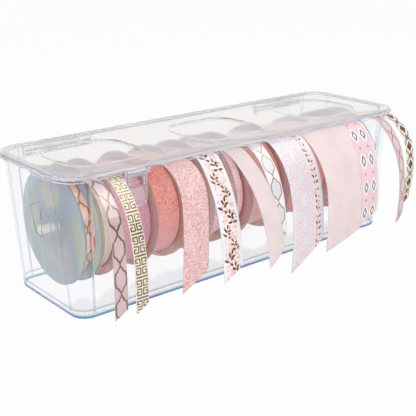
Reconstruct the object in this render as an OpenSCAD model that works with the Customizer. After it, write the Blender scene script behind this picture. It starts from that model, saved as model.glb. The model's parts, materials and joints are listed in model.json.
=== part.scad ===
// Ribbon dispenser box: a clear hinged case with a row of ribbon spools on one rod.
// X runs along the rod, the front with the ribbon slot faces -Y, and Z is up.
// The origin is the middle of the underside of the tub. All sizes are millimetres.

/* [Spools] */
// Width of each ribbon, from left to right along the rod
ribbon_w = [10, 10, 27, 22, 18, 16, 12, 34, 44, 25, 10, 10]; // [8:1:60]
// How far each wound roll stays inside the edge of its flanges
roll_inset = [6, 5.5, 5, 4.5, 6, 5, 7, 5, 4.5, 6, 6.5, 5]; // [3:0.5:15]
// Diameter of the reel flanges
flange_d = 83; // [76:1:100]
// Thickness of a flange
flange_t = 1.2; // [0.8:0.1:2]
// Rounding of a flange's rim
flange_round = 0.3; // [0.1:0.1:0.4]
// Diameter of the core that the ribbon is wound on
core_d = 28; // [18:1:44]
// Room between a roll and each flange
ribbon_side = 0.3; // [0.2:0.1:1]
// Room between a roll and its core
core_fit = 0.1; // [0.05:0.05:0.3]
// Step at the loose end of the outer turn of a roll
turn_step = 0.6; // [0.3:0.1:1.5]
// Gap between each spool and the next
spool_gap = [0.7, 0.7, 0.7, 2.7, 2.7, 2.7, 1.5, 1.5, 1.5, 1.5, 1.5]; // [0.4:0.1:4]
// How far the row of spools sits right of the middle
stack_shift = 0.85; // [0:0.05:1.5]

/* [Rod and holders] */
// Diameter of the rod
rod_d = 7; // [5:0.5:10]
// Bevel on the ends of the rod
rod_bevel = 0.8; // [0.3:0.1:1.5]
// Radial room of a reel's bore on the rod
reel_fit = 0.3; // [0.1:0.05:1]
// Radial room of the rod in its holders
rod_fit = 0.2; // [0.1:0.05:0.6]
// Gap between each end of the rod and the end wall
rod_end_gap = 0.6; // [0.4:0.1:2]
// Gap between the last spool and its holder
spool_end_gap = 1.6; // [1.5:0.1:4]
// Room between the front of a holder and the end wall, at the floor
end_room = 3; // [2.5:0.1:6]
// Thickness of a holder's arms
holder_t = 1.4; // [1:0.1:2]
// Height of a holder above the rod's axis
holder_over = 17; // [8:1:24]
// How far each arm of a holder leans out at its top
holder_flare = 2.8; // [1:0.1:5]
// Bond between a holder and the end wall
bond_gap = 0.1; // [0.05:0.05:0.3]

/* [Tub] */
// Wall thickness
wall = 1.8; // [1.2:0.1:2.4]
// Floor thickness
floor_t = 2; // [1.5:0.1:3]
// Room between the floor and the flanges
under_room = 11.5; // [3:0.5:20]
// Room between the flanges and the top of the rim
over_room = 4.1; // [3.6:0.1:12]
// Room between the flanges and the front and back walls at the rod's height
side_room = 1.8; // [1.2:0.1:6]
// Lean of the front and back walls in degrees
side_draft = 1.7; // [0.5:0.1:3]
// Lean of the end walls in degrees
end_draft = 4.8; // [1:0.1:6]
// Corner radius at the base
base_r = 12; // [8:0.5:13]
// Corner radius at the rim
rim_r = 17; // [14:0.5:20]
// Rounding of the edge round the base
bottom_round = 2; // [0.5:0.1:2.4]
// How far the bead under the rim stands out
rim_bead = 1.2; // [0.6:0.1:1.3]
// Height of the bead under the rim
rim_bead_h = 2.4; // [1.5:0.1:2.8]
// Height of the ribbon slot, cut from the front of the rim
slot_h = 3.1; // [2.6:0.1:4.5]
// Width of the full-height stretch of front wall behind the latch
pillar_w = 25; // [24:1:30]
// Radius of the upright ribs beside the corners
rib_r = 0.8; // [0.4:0.1:1.2]
// How far the ribs end below the slot
rib_below = 3; // [2:0.5:10]

/* [Lid] */
// How far the lid reaches past the rim on each side
lid_over = 3.55; // [3.4:0.05:5]
// Gap between the rim and the lid
lid_gap = 0.3; // [0.2:0.1:0.6]
// Thickness of the lid at its raised border
lid_t = 2.5; // [2.2:0.1:3.5]
// How far the skirt hangs below the lid
skirt_drop = 0.5; // [0.3:0.1:1]
// Thickness of the skirt
skirt_t = 2; // [1.5:0.1:2]
// Rounding of the top edge of the lid
lid_round = 1; // [0.4:0.1:1.4]
// Width of the raised border
border_w = 6.5; // [4:0.5:10]
// Depth of the top panel below the border
panel_step = 0.8; // [0.4:0.1:1]
// Length of each sunken pad
pad_l = 62; // [40:1:80]
// Width of each sunken pad
pad_w = 56; // [40:1:64]
// Corner radius of the pads
pad_r = 18; // [8:1:19]
// Depth of the pads below the panel
pad_step = 1.2; // [0.6:0.1:1.4]
// Distance between the middles of neighbouring pads
pad_pitch = 110; // [90:1:114]

/* [Hinge] */
// Distance of each hinge from the middle of the back wall
hinge_x = 112; // [70:1:112]
// Length of each hinge
hinge_w = 56; // [40:1:60]
// Length of each fixed knuckle
knuckle_w = 11; // [6:0.5:14]
// Outer diameter of the knuckles
knuckle_d = 6; // [5:0.1:6.4]
// Diameter of the hinge pin
hinge_pin_d = 2.5; // [1.5:0.1:3]
// Radial room of a pin in its knuckles
pin_fit = 0.05; // [0.02:0.01:0.1]
// Room between the knuckles, along the pin
knuckle_gap = 0.5; // [0.3:0.1:1]
// How far each end of the pin stops inside the knuckles
pin_inset = 0.5; // [0.2:0.1:1]
// Room between the knuckles and the hinge pocket
pocket_room = 0.5; // [0.4:0.1:1]
// How far the knuckles stay inside the edge of the lid
knuckle_in = 0.5; // [0.3:0.1:1]
// Gap between the knuckles and the lid above
knuckle_under = 0.6; // [0.5:0.1:1.2]

/* [Latch] */
// Place of the latch along the front
latch_x = -108; // [-110:1:-90]
// Width of the latch
latch_w = 16; // [14:0.5:18]
// Length of the latch below its pin
latch_len = 23; // [20:0.2:30]
// Thickness of the latch
latch_t = 2; // [1.6:0.1:2.2]
// Diameter of the latch's barrel
barrel_d = 3.8; // [3.4:0.1:4]
// Diameter of the latch pin
latch_pin_d = 1.8; // [1.2:0.1:2]
// Gap between the barrel and the skirt above
barrel_gap = 0.3; // [0.2:0.1:0.6]
// How far the pin's axis stays inside the edge of the lid
latch_in = 1; // [0.6:0.1:1.1]
// Thickness of each ear that carries the latch pin
ear_t = 2; // [1.5:0.1:3]
// Room between the latch and each ear
ear_gap = 0.4; // [0.2:0.1:0.8]
// Width of the window in the latch
window_w = 12; // [8:0.5:12]
// Top of the window, below the pin
window_top = 3.2; // [3:0.1:5]
// Bottom of the window, below the pin
window_bottom = 10; // [9:0.1:13]
// Rounding of the latch's lower end
tab_r = 5.5; // [4:0.5:6.5]
// Height of the bent finger lip
lip_h = 4; // [2:0.5:6]
// How far the finger lip bends out
lip_out = 1.6; // [0.8:0.1:3]
// Gap between the latch and the catch bead on the wall
catch_gap = 0.35; // [0.3:0.05:0.6]
// Length of the catch bead
catch_w = 18.5; // [10:0.5:20]
// Height of the catch bead, above the bottom of the window
catch_up = 1.4; // [1.2:0.1:3]

/* [Ribbon tails] */
// Thickness of a ribbon tail
tail_t = 0.5; // [0.4:0.1:0.8]
// Gap between a tail and what it lies on
tail_gap = 0.3; // [0.25:0.05:0.5]
// How far each tail still follows its roll, in degrees
tail_wrap = 14; // [4:1:30]
// How softly a tail bends over the edge of the slot
bend_r = 2.5; // [1:0.5:5]
// Place of the last tail round the front corner, in degrees
corner_place = 30; // [10:5:45]
// Direction of the last tail, in degrees to the right of the front
corner_turn = 5; // [5:5:45]
// How far the last tail lies flat before it leaves the corner
corner_rest = 9; // [7:1:12]
// Drop over which a tail takes its twist
twist_drop = 40; // [20:5:60]

/* [Hidden] */
$fn = 64;
hull_fn = 40;
eps = 0.01;
big = 1000;

// Tails: spool, sideways shift at the slot, reach in front of it, height over which the reach is won,
// height of the tip, slant of the cut end as rise over width, how far the end curls back, and twist
TAILS = [
    [0, -2.2, 29, 12, 11, 0.6, 1, 0],
    [1, -0.6, 31, 18, 12, 0.6, 1, 0],
    [3, 0.4, 22.5, 8, 10, 0.6, 1, 0],
    [4, 1.7, 34.5, 33, 13, 0.55, 0, 0],
    [5, 4.3, 54, 28, 23.5, 0.7, 0, 0],
    [6, 4.8, 33, 20, 30, 0.5, 0, 0],
    [7, 7.8, 31, 18, 1.5, 0.6, 2, 3],
    [8, 3.8, 32, 16, 11, 0.2, 1.5, 6],
    [9, -0.2, 27, 19, 18, 0.4, 3, 4],
    [10, 13, 33, 20, 14, 0.6, 3, 14],
    [11, 0, 28, 12, 23.5, 0.4, 5, 0],
];
inner_steps = 7;
outer_steps = 16;
// Part of the way to the slot after which a tail may move sideways, clear of the flanges
free_from = 0.55;

SPOOLS = [for (i = [0:len(ribbon_w) - 1]) i];
flange_r = flange_d / 2;
core_r = core_d / 2;
bore_r = rod_d / 2 + reel_fit;
function total(v, n) = n <= 0 ? 0 : v[n - 1] + total(v, n - 1);
function reel_w(i) = ribbon_w[i] + 2 * (ribbon_side + flange_t);
stack_len = total(ribbon_w, len(ribbon_w)) + len(ribbon_w) * 2 * (ribbon_side + flange_t)
    + total(spool_gap, len(spool_gap));
function reel_x(i) = stack_shift - stack_len / 2 + total(ribbon_w, i) + total(spool_gap, i)
    + i * 2 * (ribbon_side + flange_t);
function spool_mid(i) = reel_x(i) + reel_w(i) / 2;
function roll_r(i) = flange_r - roll_inset[i];

// Heights
axis_z = floor_t + under_room + flange_r;
rim_z = axis_z + flange_r + over_room;
slot_z = rim_z - slot_h;
lid_under = rim_z + lid_gap;
lid_top = lid_under + lid_t;
skirt_z = lid_under - skirt_drop;

// Holders and the outline of the tub at a height
holder_x = stack_len / 2 + stack_shift + spool_end_gap;
function inner_x(z) = holder_x + end_room + (z - floor_t) * tan(end_draft);
function inner_y(z) = flange_r + side_room + (z - axis_z) * tan(side_draft);
function outer_x(z) = inner_x(z) + wall;
function outer_y(z) = inner_y(z) + wall;
function outer_r(z) = base_r + (rim_r - base_r) * z / rim_z;
rod_half = inner_x(axis_z - rod_d / 2) - rod_end_gap;
rib_x = outer_x(floor_t) - base_r;
rib_top = slot_z - rib_below;
rim_x = outer_x(rim_z);
rim_y = outer_y(rim_z);
lid_x = rim_x + lid_over;
lid_y = rim_y + lid_over;
lid_r = rim_r + lid_over;

// Hinge
knuckle_r = knuckle_d / 2;
hinge_y = lid_y - knuckle_in - knuckle_r;
hinge_z = lid_under - knuckle_under - knuckle_r;
pocket_y = hinge_y - knuckle_r - pocket_room;
pocket_z = hinge_z - knuckle_r - pocket_room;

// Latch
barrel_r = barrel_d / 2;
latch_y = -lid_y + latch_in;
latch_z = skirt_z - barrel_gap - barrel_r;
catch_z = latch_z - window_bottom + catch_up;
catch_out = -latch_y - latch_t / 2 - catch_gap - outer_y(catch_z);

// Tail geometry
slot_y = outer_y(slot_z) + tail_gap;
crest_z = slot_z + tail_gap + tail_t / 2;
corner_x = rim_x - rim_r;
corner_y = rim_y - rim_r;
corner_out = rim_r + tail_gap;
over_wall = wall + 2 * tail_gap;

function two(i) = str(i < 9 ? "0" : "", i + 1);

clear = [0.86, 0.92, 0.95, 0.45];
pearl = [0.72, 0.76, 0.82, 0.6];
RIBBON_COLOUR = [
    "#d9a39b", "#c9a25f", "#e9b3b4", "#e8858b", "#f0d3cf", "#f1cfc9",
    "#efe4d6", "#eec3c4", "#f3d2cd", "#ecc9c7", "#d8a9a2", "#7a5233",
];

// Four upright corner posts of a rounded rectangle, for hulls
module posts(half_x, half_y, r, z) {
    for (sx = [-1, 1], sy = [-1, 1])
        translate([sx * (half_x - r), sy * (half_y - r), z])
            cylinder(r = r, h = eps, $fn = hull_fn);
}

// Four corner pillars turned from a profile of radius and height, for hulls
module turned_posts(half_x, half_y, r, profile) {
    for (sx = [-1, 1], sy = [-1, 1])
        translate([sx * (half_x - r), sy * (half_y - r), 0])
            rotate_extrude($fn = hull_fn) polygon(profile);
}

// Upright prism with rounded corners
module rounded_prism(half_x, half_y, r, z0, z1) {
    translate([0, 0, z0])
        linear_extrude(z1 - z0) {
            square([2 * (half_x - r), 2 * half_y], center = true);
            square([2 * half_x, 2 * (half_y - r)], center = true);
            for (sx = [-1, 1], sy = [-1, 1])
                translate([sx * (half_x - r), sy * (half_y - r)]) circle(r);
        }
}

// Cylinder along X, centred at x
module bar_x(r, len, x, y, z) {
    translate([x - len / 2, y, z]) rotate([0, 90, 0]) cylinder(r = r, h = len);
}

// Box between two corners
module block(a, b) {
    translate(a) cube(b - a);
}

// Outside of the tub, leaning walls with a rounded lower edge
module tub_outside() {
    hull() {
        turned_posts(outer_x(bottom_round), outer_y(bottom_round), base_r, [
            [0, 0], [base_r - bottom_round, 0], [base_r - bottom_round * 0.3, bottom_round * 0.3],
            [base_r, bottom_round], [0, bottom_round]]);
        posts(rim_x, rim_y, rim_r, rim_z - eps);
    }
}

// Space inside the tub
module tub_inside() {
    hull() {
        posts(inner_x(floor_t), inner_y(floor_t), outer_r(floor_t) - wall, floor_t);
        posts(inner_x(rim_z + 1), inner_y(rim_z + 1), rim_r - wall, rim_z + 1);
    }
}

// Bead that runs round the outside just above the level of the slot
module bead() {
    difference() {
        rounded_prism(rim_x + rim_bead, rim_y + rim_bead, rim_r + rim_bead,
            slot_z, slot_z + rim_bead_h);
        rounded_prism(rim_x - wall, rim_y - wall, rim_r - wall, slot_z - 1, rim_z);
    }
}

// Upright ribs inside the long walls, where the corners begin
module ribs() {
    for (sx = [0, 1], sy = [0, 1])
        mirror([sx, 0, 0]) mirror([0, sy, 0])
            translate([rib_x, inner_y(floor_t), floor_t])
                rotate([-side_draft, 0, 0])
                    cylinder(r = rib_r, h = (rib_top - floor_t) / cos(side_draft));
}

// Walls of one hinge pocket, sunk into the back wall
module pocket_walls(side) {
    block([side * hinge_x - hinge_w / 2 - wall, pocket_y - wall, pocket_z - wall],
        [side * hinge_x + hinge_w / 2 + wall, rim_y - wall / 2, rim_z]);
}

module pocket_space(side) {
    block([side * hinge_x - hinge_w / 2, pocket_y, pocket_z],
        [side * hinge_x + hinge_w / 2, big, big]);
}

// Fixed knuckles of one hinge
module fixed_knuckles(side) {
    for (end = [-1, 1]) {
        x = side * hinge_x + end * (hinge_w - knuckle_w) / 2;
        bar_x(knuckle_r, knuckle_w, x, hinge_y, hinge_z);
        block([x - knuckle_w / 2, pocket_y - wall / 2, hinge_z - knuckle_r],
            [x + knuckle_w / 2, hinge_y, hinge_z + knuckle_r]);
    }
}

// Cut that lowers the front of the rim, except behind the latch
module slot_cut() {
    difference() {
        block([-big, -big, slot_z], [big, -corner_y, big]);
        block([latch_x - pillar_w / 2, -big, 0], [latch_x + pillar_w / 2, big, rim_z + 2]);
    }
    // The bead stays off the pillar, so that the latch can hang close to it
    block([latch_x - pillar_w / 2, -big, slot_z], [latch_x + pillar_w / 2, -rim_y, big]);
}

module tub() {
    color(clear)
        difference() {
            union() {
                difference() {
                    union() {
                        tub_outside();
                        bead();
                    }
                    tub_inside();
                    slot_cut();
                }
                intersection() {
                    tub_outside();
                    union() {
                        ribs();
                        for (side = [-1, 1]) pocket_walls(side);
                    }
                }
                bar_x(catch_out, catch_w, latch_x, -outer_y(catch_z), catch_z);
                for (side = [-1, 1]) fixed_knuckles(side);
            }
            for (side = [-1, 1]) {
                difference() {
                    pocket_space(side);
                    fixed_knuckles(side);
                }
                bar_x(hinge_pin_d / 2 + pin_fit, hinge_w, side * hinge_x, hinge_y, hinge_z);
            }
        }
}

// Outline of a holder or of its channel, along X: a round bottom and arms that lean out
module channel(r, top) {
    lean = holder_flare * (top - axis_z) / holder_over;
    bar_x(r, 2 * lid_x, 0, 0, axis_z);
    translate([-lid_x, 0, 0])
        rotate([90, 0, 90])
            linear_extrude(2 * lid_x)
                polygon([[-r, axis_z], [r, axis_z], [r + lean, top], [-r - lean, top]]);
}

// Holder on an end wall, with an open channel that the rod drops into
module end_plate() {
    channel_r = rod_d / 2 + rod_fit;
    low = axis_z - channel_r - holder_t;
    top = axis_z + holder_over;
    intersection() {
        difference() {
            channel(channel_r + holder_t, top);
            channel(channel_r, top + holder_t);
        }
        translate([0, lid_y, 0])
            rotate([90, 0, 0])
                linear_extrude(2 * lid_y)
                    polygon([[holder_x, low], [inner_x(low) - bond_gap, low],
                        [inner_x(top) - bond_gap, top], [holder_x, top]]);
    }
}

module end_plate_left() {
    color(clear) mirror([1, 0, 0]) end_plate();
}

module end_plate_right() {
    color(clear) end_plate();
}

module hinge_pin(side) {
    color("silver")
        bar_x(hinge_pin_d / 2, hinge_w - 2 * pin_inset, side * hinge_x, hinge_y, hinge_z);
}

// Top of the lid with its border, sunken panel and pads, hollow underneath
module lid_shell() {
    panel_top = lid_top - panel_step;
    panel_t = panel_top - lid_under;
    pad_top = panel_top - pad_step;
    difference() {
        union() {
            difference() {
                hull()
                    turned_posts(lid_x, lid_y, lid_r, [
                        [0, skirt_z], [lid_r, skirt_z], [lid_r, lid_top - lid_round],
                        [lid_r - lid_round * 0.3, lid_top - lid_round * 0.3],
                        [lid_r - lid_round, lid_top], [0, lid_top]]);
                rounded_prism(lid_x - skirt_t, lid_y - skirt_t, lid_r - skirt_t, skirt_z - 1, lid_under);
            }
            for (k = [-1, 0, 1])
                translate([k * pad_pitch, 0, 0])
                    rounded_prism(pad_l / 2 + panel_t, pad_w / 2 + panel_t, pad_r + panel_t,
                        pad_top - panel_t, panel_top);
        }
        rounded_prism(lid_x - border_w, lid_y - border_w, lid_r - border_w, panel_top, lid_top + 1);
        for (k = [-1, 0, 1])
            translate([k * pad_pitch, 0, 0])
                rounded_prism(pad_l / 2, pad_w / 2, pad_r, pad_top, lid_top + 1);
    }
}

module lid() {
    moving_w = hinge_w - 2 * (knuckle_w + knuckle_gap);
    web_top = lid_under + lid_t / 4;
    ear_x = latch_w / 2 + ear_gap + ear_t / 2;
    color(clear)
        difference() {
            union() {
                lid_shell();
                for (side = [-1, 1]) {
                    bar_x(knuckle_r, moving_w, side * hinge_x, hinge_y, hinge_z);
                    block([side * hinge_x - moving_w / 2, hinge_y - knuckle_r, hinge_z],
                        [side * hinge_x + moving_w / 2, hinge_y + knuckle_r / 2, web_top]);
                }
                for (s = [-1, 1]) {
                    bar_x(barrel_r, ear_t, latch_x + s * ear_x, latch_y, latch_z);
                    block([latch_x + s * ear_x - ear_t / 2, latch_y - latch_in, latch_z],
                        [latch_x + s * ear_x + ear_t / 2, latch_y + barrel_r, web_top]);
                }
            }
            for (side = [-1, 1])
                bar_x(hinge_pin_d / 2 + pin_fit, hinge_w, side * hinge_x, hinge_y, hinge_z);
            bar_x(latch_pin_d / 2 + pin_fit, latch_w + 4 * (ear_t + ear_gap), latch_x, latch_y, latch_z);
        }
}

// Hanging latch: barrel, window and a rounded tab with a bent finger lip
module latch() {
    color(clear)
        difference() {
            union() {
                bar_x(barrel_r, latch_w, latch_x, latch_y, latch_z);
                intersection() {
                    translate([latch_x - latch_w / 2, latch_y, latch_z])
                        rotate([90, 0, 90])
                            linear_extrude(latch_w)
                                polygon([[latch_t / 2, 0], [latch_t / 2, lip_h - latch_len],
                                    [latch_t / 2 - lip_out, -latch_len],
                                    [-latch_t / 2 - lip_out, -latch_len],
                                    [-latch_t / 2, lip_h - latch_len], [-latch_t / 2, 0]]);
                    translate([latch_x, latch_y + big / 2, latch_z])
                        rotate([90, 0, 0])
                            linear_extrude(big) {
                                translate([-latch_w / 2, tab_r - latch_len])
                                    square([latch_w, latch_len - tab_r]);
                                translate([tab_r - latch_w / 2, -latch_len])
                                    square([latch_w - 2 * tab_r, latch_len]);
                                for (s = [-1, 1])
                                    translate([s * (latch_w / 2 - tab_r), tab_r - latch_len]) circle(tab_r);
                            }
                }
            }
            block([latch_x - window_w / 2, -big, latch_z - window_bottom],
                [latch_x + window_w / 2, big, latch_z - window_top]);
            bar_x(latch_pin_d / 2 + pin_fit, latch_w + 2, latch_x, latch_y, latch_z);
        }
}

module latch_pin() {
    color("silver")
        bar_x(latch_pin_d / 2, latch_w + 2 * (ear_gap + ear_t), latch_x, latch_y, latch_z);
}

// Rod that carries every spool, resting in the two holders
module spool_rod() {
    color("ivory")
        translate([0, 0, axis_z])
            rotate([0, 90, 0])
                rotate_extrude()
                    polygon([[0, -rod_half], [rod_d / 2 - rod_bevel, -rod_half],
                        [rod_d / 2, -rod_half + rod_bevel], [rod_d / 2, rod_half - rod_bevel],
                        [rod_d / 2 - rod_bevel, rod_half], [0, rod_half]]);
}

// Reel: two thin flanges on a bored core
module reel(i) {
    w = reel_w(i);
    b = flange_round;
    color(pearl)
        translate([reel_x(i), 0, axis_z])
            rotate([0, 90, 0])
                rotate_extrude($fn = 96)
                    polygon([[bore_r, 0], [flange_r - b, 0], [flange_r, b], [flange_r, flange_t - b],
                        [flange_r - b, flange_t], [core_r, flange_t], [core_r, w - flange_t],
                        [flange_r - b, w - flange_t], [flange_r, w - flange_t + b], [flange_r, w - b],
                        [flange_r - b, w], [bore_r, w]]);
}

// Wound ribbon: the outer turn spirals out and ends in a step, over the plain core
module roll(i) {
    step = 6;
    color(RIBBON_COLOUR[i])
        translate([reel_x(i) + flange_t + ribbon_side, 0, axis_z])
            rotate([90, 0, 90])
                linear_extrude(ribbon_w[i])
                    difference() {
                        polygon([for (a = [0:step:360])
                            (roll_r(i) - turn_step * (1 - a / 360)) * [cos(a), sin(a)]]);
                        circle(core_r + core_fit);
                    }
}

function smooth(t) = t <= 0 ? 0 : t >= 1 ? 1 : t * t * (3 - 2 * t);

// Where a tail leaves its roll, as an angle from the front: the tangent that meets the crest of the slot
function leave_angle(run, rise, r) = atan2(rise, -run) - acos(r / norm([run, rise]));

// How far in front of the slot a tail hangs once it has dropped by d
function hang(reach, fall, d) =
    let (q = (reach - bend_r) * (1 - exp(-d / fall)))
    q + bend_r * (1 - exp(-sqrt(2 * q / bend_r)));

// One edge of a tail from the roll to its cut end, as points in space; side is -1 left or 1 right
function tail_edge(t, side) =
    let (
        i = t[0],
        last = i == len(ribbon_w) - 1,
        turn = last ? corner_turn : 0,
        r = roll_r(i) + tail_gap + tail_t / 2,
        out = [sin(turn), -cos(turn)],
        crest = last
            ? [corner_x + corner_out * sin(corner_place), -corner_y - corner_out * cos(corner_place)]
            : [spool_mid(i) + t[1], -slot_y],
        inside = crest - out * (last ? corner_rest : over_wall),
        leave = leave_angle(-inside[1], crest_z - axis_z, r),
        from = r * [cos(leave), sin(leave)],
        half = side * ribbon_w[i] / 2,
        drop = crest_z - t[4] - (side > 0 ? t[5] * ribbon_w[i] : 0)
    )
    concat(
        [for (k = [0:3]) let (a = leave - tail_wrap * (1 - k / 3))
            [spool_mid(i) + half, r * cos(a), axis_z + r * sin(a)]],
        [for (k = [1:inner_steps]) let (f = k / inner_steps, s = smooth((f - free_from) / (1 - free_from)))
            [spool_mid(i) + (inside[0] - spool_mid(i)) * s + half * cos(turn * s),
                from[0] + (inside[1] - from[0]) * f + half * sin(turn * s),
                axis_z + from[1] + (crest_z - axis_z - from[1]) * f]],
        [for (k = [0:outer_steps]) let (
                d = drop * pow(k / outer_steps, 2),
                low = max(0, 2 * d / drop - 1),
                reach = hang(t[2], t[3], d) - t[6] * low * low,
                face = turn + t[7] * smooth(d / twist_drop)
            )
            [crest[0] + reach * out[0] + half * cos(face), crest[1] + reach * out[1] + half * sin(face),
                crest_z - d]]
    );

function unit(v) = v / norm(v);

// Thin strip swept between the two edges
module strip(left, right, t) {
    n = len(left);
    mid = [for (k = [0:n - 1]) (left[k] + right[k]) / 2];
    normals = [for (k = [0:n - 1])
        unit(cross(right[k] - left[k], mid[min(k + 1, n - 1)] - mid[max(k - 1, 0)]))];
    points = [for (k = [0:n - 1]) each [
        left[k] + normals[k] * t / 2, right[k] + normals[k] * t / 2,
        right[k] - normals[k] * t / 2, left[k] - normals[k] * t / 2]];
    sides = [for (k = [0:n - 2], c = [0:3]) each [
        [4 * k + c, 4 * k + 4 + c, 4 * k + 4 + (c + 1) % 4],
        [4 * k + c, 4 * k + 4 + (c + 1) % 4, 4 * k + (c + 1) % 4]]];
    e = 4 * (n - 1);
    polyhedron(points, concat([[0, 1, 2], [0, 2, 3]], [[e, e + 2, e + 1], [e, e + 3, e + 2]], sides));
}

module tail(t) {
    color(RIBBON_COLOUR[t[0]]) strip(tail_edge(t, -1), tail_edge(t, 1), tail_t);
}

tub();
end_plate_left();
end_plate_right();
hinge_pin(-1);  // hinge_pin_left
hinge_pin(1);  // hinge_pin_right
lid();
latch();
latch_pin();
spool_rod();
for (i = SPOOLS) reel(i);
for (i = SPOOLS) roll(i);
for (t = TAILS) tail(t);
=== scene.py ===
"""Looks of the ribbon dispenser box: clear case, pearly reels, wound ribbon and hanging ribbon ends."""
import json
import math
from collections import namedtuple

import bpy
import numpy as np
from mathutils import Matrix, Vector


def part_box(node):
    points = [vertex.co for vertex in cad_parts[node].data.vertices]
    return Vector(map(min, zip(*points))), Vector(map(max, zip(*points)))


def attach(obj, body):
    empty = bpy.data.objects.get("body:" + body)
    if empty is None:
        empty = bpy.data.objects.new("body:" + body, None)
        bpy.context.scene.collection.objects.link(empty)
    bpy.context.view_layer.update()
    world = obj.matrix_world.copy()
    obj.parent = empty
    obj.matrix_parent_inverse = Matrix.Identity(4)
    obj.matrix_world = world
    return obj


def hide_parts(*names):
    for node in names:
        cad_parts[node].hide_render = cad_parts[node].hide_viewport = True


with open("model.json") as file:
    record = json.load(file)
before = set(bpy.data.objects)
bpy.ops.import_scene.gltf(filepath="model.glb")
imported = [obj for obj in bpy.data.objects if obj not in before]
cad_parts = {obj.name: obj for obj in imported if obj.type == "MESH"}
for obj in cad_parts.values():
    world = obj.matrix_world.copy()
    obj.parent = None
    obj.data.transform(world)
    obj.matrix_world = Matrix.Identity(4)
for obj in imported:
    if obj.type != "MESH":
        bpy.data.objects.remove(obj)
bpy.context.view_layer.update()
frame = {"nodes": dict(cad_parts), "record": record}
nodes = frame["nodes"]
body_of = {n: b for b, members in frame["record"]["behaviour"]["bodies"].items() for n in members}
MM = 0.001

# Sizes repeated from the part's source, in millimetres
RIBBON_W = [10, 10, 27, 22, 18, 16, 12, 34, 44, 25, 10, 10]
ROLL_INSET = [6, 5.5, 5, 4.5, 6, 5, 7, 5, 4.5, 6, 6.5, 5]
FLANGE_R = 41.5
CORE_R = 14.1
AXIS_Z = 55.0
CREST_Z = 98.05
SLOT_Y = 46.661
# Centre of the tub's corner rounding at the base, in metres, and how far it moves for each unit of height
TUB_CORNER = (0.14093, 0.03147)
TUB_LEAN = (0.03428, -0.02002)
# Centre of the rim's rounded corner, and how the last loose end crosses it
CORNER = (144.38, 29.453)
CORNER_OUT = 17.3
CORNER_PLACE = math.radians(30)
CORNER_TURN = math.radians(5)
CORNER_REST = 9.0
# How the other loose ends cross the wall, and how all of them leave their rolls and fall
OVER_WALL = 2.4
TAIL_LIFT = 0.55
TAIL_WRAP = math.radians(14)
BEND_R = 2.5
TWIST_DROP = 40.0
FREE_FROM = 0.55
# A loose end: its spool, sideways shift, reach, height over which the reach is won, height of the tip,
# slant of the cut, curl and twist
Tail = namedtuple("Tail", "spool shift reach fall tip slant curl twist")
TAILS = [Tail(*row) for row in (
    (0, -2.2, 29, 12, 11, 0.6, 1, 0),
    (1, -0.6, 31, 18, 12, 0.6, 1, 0),
    (3, 0.4, 22.5, 8, 10, 0.6, 1, 0),
    (4, 1.7, 34.5, 33, 13, 0.55, 0, 0),
    (5, 4.3, 54, 28, 23.5, 0.7, 0, 0),
    (6, 4.8, 33, 20, 30, 0.5, 0, 0),
    (7, 7.8, 31, 18, 1.5, 0.6, 2, 3),
    (8, 3.8, 32, 16, 11, 0.2, 1.5, 6),
    (9, -0.2, 27, 19, 18, 0.4, 3, 4),
    (10, 13, 33, 20, 14, 0.6, 3, 14),
    (11, 0, 28, 12, 23.5, 0.4, 5, 0),
)]
THICK = 0.4
# A loose end cups by a share of its width and sways, both growing over its first free length
CUP = 0.05
SWAY = 0.35
SWAY_LENGTH = 23
FREE_OVER = 40
# How far the print of each ribbon is moved on from that of the ribbon before it
PRINT_SHIFT = 3.7
# Drawn turns of a wound ribbon are thicker than life, with ridges at the sides
WIND_PITCH = 1.2
WIND_RIDGE = 0.14
WIND_STEPS = 300
WIND_GRID = 0.6
# Where the last turn ends on a spool without a loose end
FREE_SEAM = math.radians(250)
# Half length and half width of the lid, in metres
LID_HALF = (0.1649, 0.05)
# Points nearer than this are one point, in metres, and edges sharper than this stay sharp
MERGE = 2e-6
SHARP = math.radians(32)


def lin(code):
    """Linear RGBA of an sRGB hex colour."""
    parts = [int(code[i:i + 2], 16) / 255 for i in (1, 3, 5)]
    return tuple(c / 12.92 if c <= 0.04045 else ((c + 0.055) / 1.055) ** 2.4 for c in parts) + (1.0,)


def add(tree, kind, settings=None, links=None):
    """Adds one node. A setting that starts with a dot is the node's own, any other is an input's value."""
    made = tree.nodes.new(kind)
    for key, value in (settings or {}).items():
        if isinstance(key, str) and key.startswith("."):
            setattr(made, key[1:], value)
        else:
            made.inputs[key].default_value = value
    for key, socket in (links or {}).items():
        tree.links.new(socket, made.inputs[key])
    return made


def new_material(name):
    """An empty material, its node tree and its output."""
    material = bpy.data.materials.new(name)
    material.use_nodes = True
    tree = material.node_tree
    tree.nodes.clear()
    return material, tree, add(tree, "ShaderNodeOutputMaterial")


# Clear materials

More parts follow.
